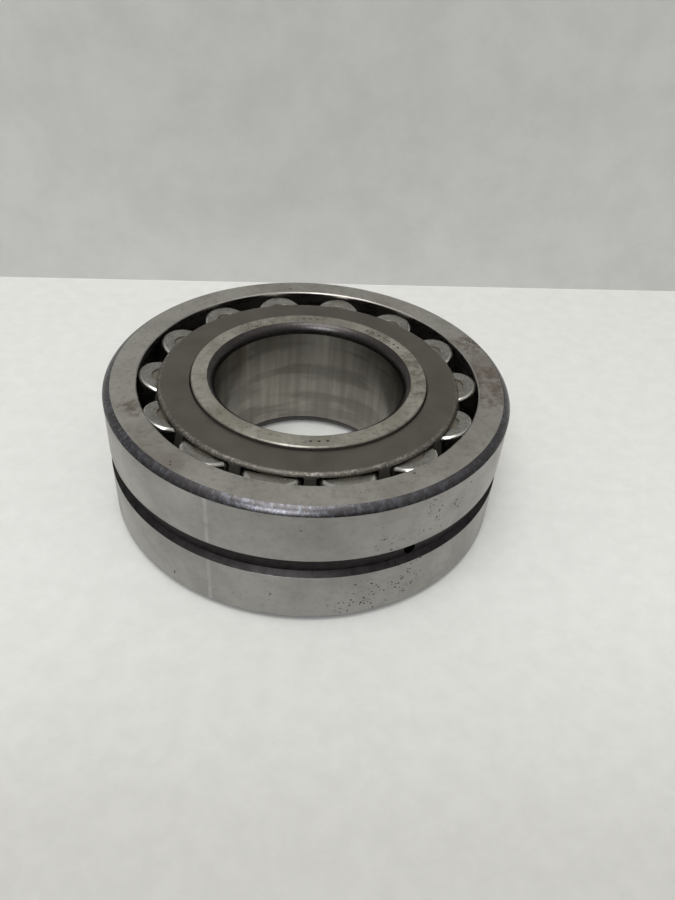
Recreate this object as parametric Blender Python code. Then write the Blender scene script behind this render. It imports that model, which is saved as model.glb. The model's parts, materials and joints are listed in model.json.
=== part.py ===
"""Double-row spherical roller bearing, 80 x 170 x 58 mm.

The bearing's axis is Z and its centre is the origin. The outer ring's raceway is one sphere about
the origin, so everything inside that ring can tilt as well as turn. Two rows of barrel rollers
lean towards the side faces. Each row runs in its own pressed cage, and a loose guide ring lies
between the rows.

Cross-sections are lists of (radius, height) points, turned about Z. Along one roller, a point is
given by how far it lies along the roller's axis and how far out from that axis.
"""

from math import atan2, cos, degrees, hypot, pi, radians, sin, sqrt

import bmesh
import bpy
from mathutils import Matrix, Vector

MM = 0.001

# Boundary dimensions
BORE_RADIUS = 40.0 * MM
OUTER_RADIUS = 85.0 * MM
HALF_WIDTH = 29.0 * MM
INNER_HALF_WIDTH = 28.5 * MM

# Outer ring
RACE_EDGE_RADIUS = 71.9 * MM
EDGE_CHAMFER = 0.5 * MM
OUTER_CORNER_RADIAL = 3.1 * MM
OUTER_CORNER_AXIAL = 2.7 * MM
GROOVE_HALF_WIDTH = 4.5 * MM
GROOVE_FLOOR_HALF_WIDTH = 3.1 * MM
GROOVE_DEPTH = 2.5 * MM
HOLE_RADIUS = 2.5 * MM
HOLE_COUNT = 3
FIRST_HOLE_ANGLE = radians(-60.4)

# Inner ring
INNER_FACE_RADIUS = 49.3 * MM
BORE_CORNER_RADIAL = 3.1 * MM
BORE_CORNER_AXIAL = 4.6 * MM
FACE_EDGE_DEPTH = 0.6 * MM
LAND_RADIUS = 54.4 * MM

# Both corners are turned round, and grinding the faces leaves their ends crisp
CORNER_TURN = radians(50.0)
CORNER_STEPS = 2

# Rollers
ROLLER_COUNT = 14
ROLLER_RADIUS = 11.6 * MM
ROLLER_HALF_LENGTH = 10.0 * MM
ROLLER_CHAMFER = 1.2 * MM
DIMPLE_RADIUS = 5.4 * MM
DIMPLE_DEPTH = 0.8 * MM
CONTACT_ANGLE = radians(13.1)
FIRST_ROLLER_ANGLE = radians(1.9)

# How much less the barrel's long radius is than the raceway's
CONFORMITY = 1.5 * MM

# Running clearances, wide enough for flat facets to turn past each other
RACE_GAP = 0.3 * MM
END_GAP = 0.35 * MM
POCKET_GAP = 0.35 * MM

# Cages, pressed from sheet
SHEET = 1.6 * MM
CAGE_BORE_RADIUS = 50.3 * MM
CAGE_TOP = 27.0 * MM
CAGE_WALL_OFFSET = 2.0 * MM
CAGE_BEND_RADIUS = 1.9 * MM
CAGE_RIM_HEIGHT = 0.4 * MM
CAGE_RIM_START = 1.0 * MM
POCKET_DEPTH = 6.0 * MM

# Guide ring
GUIDE_BORE_RADIUS = 57.0 * MM
GUIDE_OUTER_RADIUS = 66.2 * MM
GUIDE_CHAMFER = 0.4 * MM

# Facets along each round stretch of a cross-section
OUTER_RACE_STEPS = 8
INNER_RACE_STEPS = 5
BEND_STEPS = 3
BARREL_STEPS = 4

# Facets around each turned piece
OUTER_SEGMENTS = 48
INNER_SEGMENTS = 40
CAGE_SEGMENTS = 56
GUIDE_SEGMENTS = 36
ROLLER_SEGMENTS = 12
HOLE_SEGMENTS = 10
MERGE_DISTANCE = 0.001 * MM

# Derived from the dimensions above
RACEWAY_RADIUS = hypot(RACE_EDGE_RADIUS - EDGE_CHAMFER, HALF_WIDTH - EDGE_CHAMFER)
BARREL_RADIUS = RACEWAY_RADIUS - CONFORMITY
ROW_RADIUS = RACEWAY_RADIUS - RACE_GAP - ROLLER_RADIUS
ROLLER_PITCH = 2.0 * pi / ROLLER_COUNT
SMOOTH_ANGLE = radians(28.0)


def along_roller(along, out):
    """Radius and height of a point given along an upper-row roller's axis and out from it."""
    distance = ROW_RADIUS + out
    radius = distance * cos(CONTACT_ANGLE) - along * sin(CONTACT_ANGLE)
    height = distance * sin(CONTACT_ANGLE) + along * cos(CONTACT_ANGLE)
    return radius, height


def barrel_height(along):
    """Radius of the barrel at a distance along its own axis."""
    return ROLLER_RADIUS - BARREL_RADIUS + sqrt(BARREL_RADIUS ** 2 - along ** 2)


def arc(centre, radius, start, end, steps):
    """Points on an arc about a centre, from one angle to another, with both ends."""
    angles = [start + (end - start) * step / steps for step in range(steps + 1)]
    return [(centre[0] + radius * cos(a), centre[1] + radius * sin(a)) for a in angles]


def rounded_corner(start, end):
    """Arc from start to end that turns clockwise through CORNER_TURN."""
    run = end[0] - start[0]
    rise = end[1] - start[1]
    chord = hypot(run, rise)
    radius = 0.5 * chord / sin(0.5 * CORNER_TURN)
    reach = radius * cos(0.5 * CORNER_TURN) / chord
    centre = (0.5 * (start[0] + end[0]) + reach * rise, 0.5 * (start[1] + end[1]) - reach * run)
    first = atan2(start[1] - centre[1], start[0] - centre[0])
    return arc(centre, radius, first, first - CORNER_TURN, CORNER_STEPS)


def mirrored(points):
    """The same outline below the middle plane, run backwards so that the two halves join."""
    return [(radius, -height) for radius, height in reversed(points)]


def finish_mesh(mesh, name, material, smooth=True):
    """Put a mesh in a named object with one material."""
    if smooth:
        mesh.shade_smooth()
        mesh.set_sharp_from_angle(angle=SMOOTH_ANGLE)
    thing = bpy.data.objects.new(name, mesh)
    mesh.materials.append(material)
    bpy.context.scene.collection.objects.link(thing)
    return thing


def turned_mesh(name, outline, segments, closed=True):
    """Turn an outline about Z. An open outline starts and ends on the axis."""
    form = bmesh.new()
    points = [form.verts.new((radius, 0.0, height)) for radius, height in outline]
    edges = [form.edges.new(pair) for pair in zip(points, points[1:])]
    if closed:
        edges.append(form.edges.new((points[-1], points[0])))
    bmesh.ops.spin(
        form,
        geom=points + edges,
        axis=(0.0, 0.0, 1.0),
        cent=(0.0, 0.0, 0.0),
        angle=2.0 * pi,
        steps=segments,
        use_merge=True,
    )
    bmesh.ops.remove_doubles(form, verts=form.verts[:], dist=MERGE_DISTANCE)
    bmesh.ops.recalc_face_normals(form, faces=form.faces[:])
    mesh = bpy.data.meshes.new(name)
    form.to_mesh(mesh)
    form.free()
    return mesh


def steel(name, colour, roughness, metallic):
    """A Principled material for one sub-part."""
    material = bpy.data.materials.new(name)
    material.use_nodes = True
    shader = material.node_tree.nodes["Principled BSDF"]
    shader.inputs["Base Color"].default_value = (*colour, 1.0)
    shader.inputs["Roughness"].default_value = roughness
    shader.inputs["Metallic"].default_value = metallic
    return material


def subtract(thing, cutter):
    """Cut one object out of another, and keep the cutter as a hidden guide."""
    cutter.hide_render = True
    cutter.display_type = "WIRE"
    cut = thing.modifiers.new("cut", "BOOLEAN")
    cut.operation = "DIFFERENCE"
    cut.solver = "EXACT"
    cut.object = cutter


def row_matrix(angle, upper):
    """Places a roller's own frame, Z along its axis and X out from the bearing's axis."""
    lean = -CONTACT_ANGLE if upper else CONTACT_ANGLE
    turn = Matrix.Rotation(angle, 4, "Z") @ Matrix.Rotation(lean, 4, "Y")
    return turn @ Matrix.Translation((ROW_RADIUS, 0.0, 0.0))


def make_outer_ring(material):
    edge_angle = atan2(HALF_WIDTH - EDGE_CHAMFER, RACE_EDGE_RADIUS - EDGE_CHAMFER)
    raceway = arc((0.0, 0.0), RACEWAY_RADIUS, -edge_angle, edge_angle, OUTER_RACE_STEPS)
    corner = rounded_corner(
        (OUTER_RADIUS - OUTER_CORNER_RADIAL, HALF_WIDTH),
        (OUTER_RADIUS, HALF_WIDTH - OUTER_CORNER_AXIAL),
    )
    groove = [
        (OUTER_RADIUS, GROOVE_HALF_WIDTH),
        (OUTER_RADIUS - GROOVE_DEPTH, GROOVE_FLOOR_HALF_WIDTH),
    ]
    upper_half = [(RACE_EDGE_RADIUS, HALF_WIDTH)] + corner + groove
    outline = raceway + upper_half + mirrored(upper_half)
    mesh = turned_mesh("outer_ring", outline, OUTER_SEGMENTS)
    ring = finish_mesh(mesh, "outer_ring", material)
    subtract(ring, make_hole_cutter(material))


def make_hole_cutter(material):
    """Radial pins for the lubrication holes, from inside the raceway to outside the groove."""
    form = bmesh.new()
    middle = 0.5 * (RACEWAY_RADIUS + OUTER_RADIUS)
    for index in range(HOLE_COUNT):
        angle = FIRST_HOLE_ANGLE + index * 2.0 * pi / HOLE_COUNT
        place = Matrix.Rotation(angle, 4, "Z") @ Matrix.Translation((middle, 0.0, 0.0))
        bmesh.ops.create_cone(
            form,
            cap_ends=True,
            segments=HOLE_SEGMENTS,
            radius1=HOLE_RADIUS,
            radius2=HOLE_RADIUS,
            depth=2.0 * (OUTER_RADIUS - RACEWAY_RADIUS),
            matrix=place @ Matrix.Rotation(0.5 * pi, 4, "Y"),
        )
    mesh = bpy.data.meshes.new("hole_cutter")
    form.to_mesh(mesh)
    form.free()
    return finish_mesh(mesh, "hole_cutter", material, smooth=False)


def make_inner_ring(material):
    race_distance = ROW_RADIUS - ROLLER_RADIUS + BARREL_RADIUS
    race_centre = (race_distance * cos(CONTACT_ANGLE), race_distance * sin(CONTACT_ANGLE))
    race_radius = BARREL_RADIUS + RACE_GAP
    rise = INNER_HALF_WIDTH - FACE_EDGE_DEPTH - race_centre[1]
    top = pi - atan2(rise, sqrt(race_radius ** 2 - rise ** 2))
    land_run = race_centre[0] - LAND_RADIUS
    land = pi + atan2(sqrt(race_radius ** 2 - land_run ** 2), land_run)
    raceway = arc(race_centre, race_radius, top, land, INNER_RACE_STEPS)
    corner = rounded_corner(
        (BORE_RADIUS, INNER_HALF_WIDTH - BORE_CORNER_AXIAL),
        (BORE_RADIUS + BORE_CORNER_RADIAL, INNER_HALF_WIDTH),
    )
    upper_half = corner + [(INNER_FACE_RADIUS, INNER_HALF_WIDTH)] + raceway
    mesh = turned_mesh("inner_ring", upper_half + mirrored(upper_half), INNER_SEGMENTS)
    finish_mesh(mesh, "inner_ring", material)


def make_guide_ring(material):
    """Loose ring whose flanks lie along the inner ends of both rows of rollers."""
    flank = -(ROLLER_HALF_LENGTH + END_GAP)
    low_out = (GUIDE_BORE_RADIUS + flank * sin(CONTACT_ANGLE)) / cos(CONTACT_ANGLE) - ROW_RADIUS
    high_out = (GUIDE_OUTER_RADIUS + flank * sin(CONTACT_ANGLE)) / cos(CONTACT_ANGLE) - ROW_RADIUS
    low = along_roller(flank, low_out)
    high = along_roller(flank, high_out)
    upper_half = [
        (low[0], low[1] - GUIDE_CHAMFER),
        along_roller(flank, low_out + GUIDE_CHAMFER),
        along_roller(flank, high_out - GUIDE_CHAMFER),
        (high[0], high[1] - GUIDE_CHAMFER),
    ]
    mesh = turned_mesh("guide_ring", upper_half + mirrored(upper_half), GUIDE_SEGMENTS)
    finish_mesh(mesh, "guide_ring", material)


def cage_outline():
    """Cross-section of the upper cage: wide flange, bend, wall along the rollers, and rim."""
    outer = CAGE_WALL_OFFSET + 0.5 * SHEET
    inner = CAGE_WALL_OFFSET - 0.5 * SHEET
    rim_start = -(ROLLER_HALF_LENGTH + CAGE_RIM_START)
    wall_turn = 0.5 * pi - CONTACT_ANGLE

    def bend(out, radius, top):
        """Arc that carries the level flange into the leaning wall at the given offset."""
        wall = along_roller(0.0, out)
        centre_height = top - radius
        fall = (centre_height - wall[1]) / cos(CONTACT_ANGLE)
        line_radius = wall[0] - fall * sin(CONTACT_ANGLE)
        centre = (line_radius - radius / cos(CONTACT_ANGLE), centre_height)
        return arc(centre, radius, 0.5 * pi, 0.5 * pi - wall_turn, BEND_STEPS)

    outside = [(CAGE_BORE_RADIUS, CAGE_TOP)]
    outside += bend(outer, CAGE_BEND_RADIUS, CAGE_TOP)
    outside += [along_roller(rim_start, outer)]
    outside += [(along_roller(rim_start, outer)[0], CAGE_RIM_HEIGHT)]
    inside = [(CAGE_BORE_RADIUS, CAGE_TOP - SHEET)]
    inside += bend(inner, CAGE_BEND_RADIUS - SHEET, CAGE_TOP - SHEET)
    inside += [along_roller(rim_start, inner)]
    inside += [(along_roller(rim_start, inner)[0], CAGE_RIM_HEIGHT)]
    return outside + inside[::-1]


def make_pocket_cutter(name, upper, first_angle, material):
    """One block for each roller's pocket in a cage's wall."""
    size = Vector((POCKET_DEPTH, ROLLER_RADIUS + POCKET_GAP, ROLLER_HALF_LENGTH + END_GAP))
    size.y *= 2.0
    size.z *= 2.0
    middle = Matrix.Translation((CAGE_WALL_OFFSET, 0.0, 0.0))
    form = bmesh.new()
    for index in range(ROLLER_COUNT):
        place = row_matrix(first_angle + index * ROLLER_PITCH, upper) @ middle
        bmesh.ops.create_cube(form, size=1.0, matrix=place @ Matrix.Diagonal((*size, 1.0)))
    mesh = bpy.data.meshes.new(name)
    form.to_mesh(mesh)
    form.free()
    return finish_mesh(mesh, name, material, smooth=False)


def make_cage(name, upper, first_angle, material):
    outline = cage_outline()
    if not upper:
        outline = mirrored(outline)
    cage = finish_mesh(turned_mesh(name, outline, CAGE_SEGMENTS), name, material)
    subtract(cage, make_pocket_cutter(name + "_pockets", upper, first_angle, material))
    return cage


def roller_mesh(material):
    """Barrel with chamfered ends and a shallow dimple in the middle of each end."""
    shoulder = ROLLER_HALF_LENGTH - ROLLER_CHAMFER
    end = [
        (0.0, ROLLER_HALF_LENGTH - DIMPLE_DEPTH),
        (DIMPLE_RADIUS, ROLLER_HALF_LENGTH),
        (barrel_height(shoulder) - ROLLER_CHAMFER, ROLLER_HALF_LENGTH),
    ]
    drop = 2.0 * shoulder / BARREL_STEPS
    sides = [shoulder - drop * step for step in range(BARREL_STEPS + 1)]
    barrel = [(barrel_height(along), along) for along in sides]
    mesh = turned_mesh("roller", end + barrel + mirrored(end), ROLLER_SEGMENTS, closed=False)
    mesh.shade_smooth()
    mesh.set_sharp_from_angle(angle=SMOOTH_ANGLE)
    mesh.materials.append(material)
    return mesh


def make_row(prefix, upper, first_angle, mesh, cage):
    """The rollers of one row, each a separate object carried by its cage."""
    for index in range(ROLLER_COUNT):
        roller = bpy.data.objects.new(f"{prefix}_{index + 1:02d}", mesh)
        roller.matrix_world = row_matrix(first_angle + index * ROLLER_PITCH, upper)
        bpy.context.scene.collection.objects.link(roller)
        roller.parent = cage


def clear_scene():
    for thing in list(bpy.data.objects):
        bpy.data.objects.remove(thing, do_unlink=True)


def print_joint_facts():
    """The turning ratios of cage and rollers, for one turn of the inner ring."""
    cage_ratio = 0.5 * (1.0 - ROLLER_RADIUS / ROW_RADIUS)
    reach = (ROW_RADIUS + ROLLER_RADIUS) * cos(CONTACT_ANGLE)
    print(f"cage turns {cage_ratio:.6f} of the inner ring's angle")
    print(f"roller turns {-cage_ratio * reach / ROLLER_RADIUS:.6f} of the inner ring's angle")
    print(f"roller centre at {ROW_RADIUS / MM:.3f} mm, {degrees(CONTACT_ANGLE):.2f} degrees")


def main():
    clear_scene()
    ground_steel = steel("ground_steel", (0.30, 0.29, 0.27), 0.32, 1.0)
    ring_steel = steel("ring_steel", (0.32, 0.31, 0.28), 0.36, 1.0)
    roller_steel = steel("roller_steel", (0.36, 0.36, 0.34), 0.25, 1.0)
    cage_steel = steel("cage_steel", (0.11, 0.10, 0.09), 0.55, 0.7)
    guide_steel = steel("guide_steel", (0.16, 0.15, 0.14), 0.50, 0.8)

    make_outer_ring(ground_steel)
    make_inner_ring(ring_steel)
    make_guide_ring(guide_steel)

    lower_first_angle = FIRST_ROLLER_ANGLE + 0.5 * ROLLER_PITCH
    upper_cage = make_cage("cage_upper", True, FIRST_ROLLER_ANGLE, cage_steel)
    lower_cage = make_cage("cage_lower", False, lower_first_angle, cage_steel)

    roller = roller_mesh(roller_steel)
    make_row("roller_upper", True, FIRST_ROLLER_ANGLE, roller, upper_cage)
    make_row("roller_lower", False, lower_first_angle, roller, lower_cage)
    print_joint_facts()


main()
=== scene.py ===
"""The looks of the spherical roller bearing: fine meshes and steel finishes around the CAD frame.

The bearing's axis is Z and its centre is the origin, in metres. Turned pieces are made from
outlines, lists of (radius, height, finish) points, where the finish belongs to the stretch that
starts at that point. Each piece stands for the CAD node of the same shape and rides on its body.
"""

import json
from math import atan2, cos, hypot, pi, radians, sin, sqrt, tan

import bmesh
import bpy
from mathutils import Matrix, Vector


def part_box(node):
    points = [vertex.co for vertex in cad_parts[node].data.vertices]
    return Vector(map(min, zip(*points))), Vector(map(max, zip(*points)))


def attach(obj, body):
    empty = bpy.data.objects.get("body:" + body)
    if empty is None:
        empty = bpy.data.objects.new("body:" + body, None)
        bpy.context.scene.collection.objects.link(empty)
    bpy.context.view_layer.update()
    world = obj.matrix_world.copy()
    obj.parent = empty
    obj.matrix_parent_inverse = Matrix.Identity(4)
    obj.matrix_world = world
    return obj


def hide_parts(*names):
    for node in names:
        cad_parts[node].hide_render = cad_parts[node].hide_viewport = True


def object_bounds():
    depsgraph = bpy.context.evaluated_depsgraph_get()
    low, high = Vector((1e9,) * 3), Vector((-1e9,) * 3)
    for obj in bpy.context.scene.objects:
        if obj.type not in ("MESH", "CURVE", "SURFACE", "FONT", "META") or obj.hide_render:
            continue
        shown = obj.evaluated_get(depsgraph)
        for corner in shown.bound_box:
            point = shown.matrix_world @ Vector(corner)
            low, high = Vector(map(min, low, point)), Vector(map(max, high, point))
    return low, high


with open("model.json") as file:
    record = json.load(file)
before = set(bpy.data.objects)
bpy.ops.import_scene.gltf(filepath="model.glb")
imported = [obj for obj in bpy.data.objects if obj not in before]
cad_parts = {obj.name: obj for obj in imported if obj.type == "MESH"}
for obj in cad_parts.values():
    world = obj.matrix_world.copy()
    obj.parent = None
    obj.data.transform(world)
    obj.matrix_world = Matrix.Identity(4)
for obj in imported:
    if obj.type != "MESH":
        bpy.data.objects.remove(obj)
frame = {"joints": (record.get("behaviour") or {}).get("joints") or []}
CAD_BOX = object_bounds()

MM = 0.001

# Sizes that the frame gives
OUTER_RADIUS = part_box("outer_ring")[1].x
HALF_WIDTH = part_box("outer_ring")[1].z
INNER_HALF_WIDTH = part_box("inner_ring")[1].z
CAGE_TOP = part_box("cage_upper")[1].z
FLOOR_HEIGHT = CAD_BOX[0][2]
ROLLER_JOINTS = [joint for joint in frame["joints"] if joint["child"].startswith("roller_")]

# Outer ring
RACE_EDGE_RADIUS = 71.9 * MM
EDGE_CHAMFER = 0.5 * MM
OUTER_CORNER_RADIAL = 3.1 * MM
OUTER_CORNER_AXIAL = 2.7 * MM
OUTER_CORNER_TURN = radians(32.0)
GROOVE_HALF_WIDTH = 4.5 * MM
GROOVE_FLOOR_HALF_WIDTH = 3.1 * MM
GROOVE_DEPTH = 2.5 * MM
HOLE_RADIUS = 2.5 * MM
HOLE_COUNT = 3
FIRST_HOLE_ANGLE = radians(-60.4)
RACEWAY_STEPS = 40
OUTER_CORNER_STEPS = 8
HOLE_SEGMENTS = 32

# Inner ring
BORE_RADIUS = 40.0 * MM
INNER_FACE_RADIUS = 49.3 * MM
BORE_CORNER_RADIAL = 3.1 * MM
BORE_CORNER_AXIAL = 4.6 * MM
FACE_EDGE_DEPTH = 0.6 * MM
LAND_RADIUS = 54.4 * MM
BORE_CORNER_TURN = radians(60.0)
BORE_CORNER_STEPS = 10
INNER_RACEWAY_STEPS = 24
OILY_STEPS = 6  # of the raceway's steps, those above the rollers' ends
PUNCH_ROWS = ((radians(91.0), 3), (radians(44.0), 7), (radians(-84.0), 3))
PUNCH_PITCH = radians(4.0)
PUNCH_RADIUS = 0.6 * MM
PUNCH_DEPTH = 0.40 * MM
PUNCH_SEGMENTS = 12

# Rollers
ROLLER_COUNT = 14
ROLLER_RADIUS = 11.6 * MM
ROLLER_HALF_LENGTH = 10.0 * MM
ROLLER_CHAMFER = 1.2 * MM
ROLLER_CORNER_TURN = radians(60.0)
ROLLER_CORNER_STEPS = 6
BARREL_STEPS = 24
DIMPLE_RADIUS = 5.4 * MM
DIMPLE_DEPTH = 0.8 * MM
CONTACT_ANGLE = radians(13.1)
FIRST_ROLLER_ANGLE = radians(1.9)
CONFORMITY = 1.5 * MM
RACE_GAP = 0.3 * MM
END_GAP = 0.35 * MM
POCKET_GAP = 0.35 * MM

# Cages
SHEET = 1.6 * MM
CAGE_BORE_RADIUS = 50.3 * MM
CAGE_WALL_OFFSET = 2.0 * MM
CAGE_BEND_RADIUS = 1.1 * MM
BEND_START = 61.6 * MM
CAGE_RIM_START = 1.0 * MM
CAGE_RIM_HEIGHT = 0.4 * MM
CAGE_EDGE_ROUNDING = 0.25 * MM
POCKET_CORNER = 1.2 * MM
POCKET_MARGIN = 1.5 * POCKET_CORNER  # kept free of rows and columns for the rounded corner
BEND_STEPS = 12
FLANGE_ROWS = 8
SHOULDER_ROWS = 12
POCKET_ROWS = 10
RIM_ROWS = 6
POCKET_COLUMNS = 10
BAR_COLUMNS = 4
WORN_SHEEN_WIDTH = 0.8 * MM  # over which the wear and the painted sheen at the bend begin
WORN_SHEEN_DEPTHS = (2.6 * MM, 1.6 * MM)  # below the flange's top, where the wear and the painted sheen end and are full

# Guide ring
GUIDE_BORE_RADIUS = 57.0 * MM
GUIDE_OUTER_RADIUS = 66.2 * MM
GUIDE_CHAMFER = 0.4 * MM

# Fineness of the visible meshes
RING_SEGMENTS = 240
ROLLER_SEGMENTS = 72
EDGE_ROUNDING = 0.12 * MM
EDGE_STEPS = 3
EDGE_SHARE = 0.45  # of a stretch, the most that the rounding at one of its ends may take
LEAST_BEND = radians(20.0)  # of an outline, that counts as a corner and is rounded
SMOOTH_ANGLE = radians(32.0)
NEAR_ZERO = 1e-9

RACEWAY_RADIUS = hypot(RACE_EDGE_RADIUS - EDGE_CHAMFER, HALF_WIDTH - EDGE_CHAMFER)
BARREL_RADIUS = RACEWAY_RADIUS - CONFORMITY
ROW_RADIUS = RACEWAY_RADIUS - RACE_GAP - ROLLER_RADIUS
ROLLER_PITCH = 2.0 * pi / ROLLER_COUNT

# Camera: it looks a little to the side of the bearing's centre and leans slightly
CAMERA_DISTANCE = 0.33540
CAMERA_ELEVATION = radians(37.457)
CAMERA_YAW = radians(-2.418)
CAMERA_PITCH = radians(-1.685)
CAMERA_LEAN = radians(2.936)
CAMERA_LENS = 29.916
SENSOR_WIDTH = 36.0
NEAREST_SEEN = 0.01

# Stage, with the backdrop turned a little about Z
FLOOR_SIZE = 4.0
FLOOR_MIDDLE_Y = 1.65
BACKDROP_SIZE = 2.0
BACKDROP_Y = 0.197
BACKDROP_TURN = radians(4.7)
ONLOOKER_SIZE = 0.36
ONLOOKER_PLACE = (0.02, -0.29, -0.025)

# Light: (place, width and height, watts, colour) of each lamp, and the direction of the sky's
# bright part with its range of strengths from low to high
LAMPS = {
    "ceiling_light": ((-0.25, -0.45, 2.20), (1.20, 1.20), 17.5, (1.0, 0.99, 0.97)),
    "window_light": ((-0.42, -1.68, 1.68), (0.90, 0.60), 17.0, (0.94, 0.97, 1.0)),
}
OVERHEAD = (0.0, 0.30, 0.95)
OVERHEAD_COLOUR = (1.0, 0.99, 0.965, 1.0)
OVERHEAD_RANGE = {"From Min": 0.10, "From Max": 0.85, "To Min": 0.20, "To Max": 0.76}

# Colours that several finishes share
GRIME = (0.12, 0.11, 0.09)
PIT = (0.03, 0.028, 0.025)
RUBBED = (0.58, 0.57, 0.55)


# ---------------------------------------------------------------------------------------------
# Outlines


def along_roller(along, out):
    """Radius and height of a point given along an upper-row roller's axis and out from it."""
    distance = ROW_RADIUS + out
    radius = distance * cos(CONTACT_ANGLE) - along * sin(CONTACT_ANGLE)
    height = distance * sin(CONTACT_ANGLE) + along * cos(CONTACT_ANGLE)
    return radius, height


def barrel_height(along):
    """Radius of the barrel at a distance along its own axis."""
    return ROLLER_RADIUS - BARREL_RADIUS + sqrt(BARREL_RADIUS ** 2 - along ** 2)


def arc(centre, radius, start, end, steps):
    """Points on an arc about a centre, from one angle to another, with both ends."""
    angles = [start + (end - start) * step / steps for step in range(steps + 1)]
    return [(centre[0] + radius * cos(a), centre[1] + radius * sin(a)) for a in angles]


def turned_corner(start, end, turn, steps):
    """Arc from start to end that turns clockwise through the angle given."""
    run = end[0] - start[0]
    rise = end[1] - start[1]
    chord = hypot(run, rise)
    radius = 0.5 * chord / sin(0.5 * turn)
    reach = radius * cos(0.5 * turn) / chord
    centre = (0.5 * (start[0] + end[0]) + reach * rise, 0.5 * (start[1] + end[1]) - reach * run)
    first = atan2(start[1] - centre[1], start[0] - centre[0])
    return arc(centre, radius, first, first - turn, steps)


def stretch(points, finish):
    """Gives every point of a stretch the same finish."""
    return [(point[0], point[1], finish) for point in points]


def mirrored(points):
    """The same outline below the middle plane, run backwards so that the two halves join."""
    flipped = [(radius, -height) for radius, height, finish in reversed(points)]
    finishes = [finish for radius, height, finish in reversed(points)]
    return [(*flipped[i], finishes[min(i + 1, len(points) - 1)]) for i in range(len(points))]


def softened(points, closed=True):
    """Rounds each real corner of an outline, so that its edge catches the light."""
    result = []
    count = len(points)
    for index, (radius, height, finish) in enumerate(points):
        if not closed and index in (0, count - 1):
            result.append((radius, height, finish))
            continue
        here = Vector((radius, height))
        before = Vector(points[index - 1][:2]) - here
        after = Vector(points[(index + 1) % count][:2]) - here
        bend = pi - before.angle(after)
        if bend < LEAST_BEND:
            result.append((radius, height, finish))
            continue
        room = EDGE_SHARE * min(before.length, after.length)
        reach = min(EDGE_ROUNDING * tan(0.5 * bend), room)
        start = here + before.normalized() * reach
        end = here + after.normalized() * reach
        for step in range(EDGE_STEPS + 1):
            t = step / EDGE_STEPS
            spot = start * (1 - t) ** 2 + here * (2 * t * (1 - t)) + end * t ** 2
            result.append((spot.x, spot.y, finish))
    return result


# ---------------------------------------------------------------------------------------------
# Meshes


def object_from(form, name, materials):
    """Turns a bmesh into a smooth-shaded object with its finishes in order."""
    bmesh.ops.recalc_face_normals(form, faces=form.faces[:])
    mesh = bpy.data.meshes.new(name)
    form.to_mesh(mesh)
    form.free()
    for material in materials:
        mesh.materials.append(material)
    mesh.shade_smooth()
    mesh.set_sharp_from_angle(angle=SMOOTH_ANGLE)
    thing = bpy.data.objects.new(name, mesh)
    bpy.context.scene.collection.objects.link(thing)
    return thing


def turned(name, outline, segments, materials, closed=True):
    """Turns an outline about Z. An open outline starts and ends on the axis."""
    form = bmesh.new()
    finishes = list(materials)
    loops = []
    for radius, height, _ in outline:
        if radius < NEAR_ZERO:
            loops.append([form.verts.new((0.0, 0.0, height))] * segments)
            continue
        angles = [2.0 * pi * segment / segments for segment in range(segments)]
        loops.append([form.verts.new((radius * cos(a), radius * sin(a), height)) for a in angles])
    bands = len(outline) if closed else len(outline) - 1
    for band in range(bands):
        low = loops[band]
        high = loops[(band + 1) % len(outline)]
        for segment in range(segments):
            after = (segment + 1) % segments
            corners = [low[segment], low[after], high[after], high[segment]]
            face = form.faces.new(dict.fromkeys(corners))
            face.material_index = finishes.index(outline[band][2])
    return object_from(form, name, materials.values())


def subtract(thing, cutter):
    """Cuts one object out of another, for good, and removes the cutter."""
    cut = thing.modifiers.new("cut", "BOOLEAN")
    cut.operation = "DIFFERENCE"
    cut.solver = "EXACT"
    cut.object = cutter
    apply_modifiers(thing)
    bpy.data.objects.remove(cutter, do_unlink=True)
    thing.data.shade_smooth()
    thing.data.set_sharp_from_angle(angle=SMOOTH_ANGLE)


def apply_modifiers(thing):
    """Replaces the object's mesh by its evaluated mesh."""
    evaluated = thing.evaluated_get(bpy.context.evaluated_depsgraph_get())
    mesh = bpy.data.meshes.new_from_object(evaluated)
    thing.modifiers.clear()
    thing.data = mesh


def make_outer_ring(finishes):
    """Spherical raceway, side faces, large corners, lands, groove and the holes through it."""
    edge_angle = atan2(HALF_WIDTH - EDGE_CHAMFER, RACE_EDGE_RADIUS - EDGE_CHAMFER)
    raceway = arc((0.0, 0.0), RACEWAY_RADIUS, -edge_angle, edge_angle, RACEWAY_STEPS)
    corner = turned_corner(
        (OUTER_RADIUS - OUTER_CORNER_RADIAL, HALF_WIDTH),
        (OUTER_RADIUS, HALF_WIDTH - OUTER_CORNER_AXIAL),
        OUTER_CORNER_TURN,
        OUTER_CORNER_STEPS,
    )
    upper_half = [(RACE_EDGE_RADIUS, HALF_WIDTH, "side_face")]
    upper_half += stretch(corner, "corner")
    upper_half[-1] = (*corner[-1], "outside")
    upper_half += [
        (OUTER_RADIUS, GROOVE_HALF_WIDTH, "groove"),
        (OUTER_RADIUS - GROOVE_DEPTH, GROOVE_FLOOR_HALF_WIDTH, "groove"),
    ]
    outline = stretch(raceway, "raceway") + upper_half + mirrored(upper_half)
    ring = turned("ring_outer", softened(outline), RING_SEGMENTS, finishes)
    subtract(ring, make_hole_cutter(finishes["hole"]))
    return ring


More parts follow.
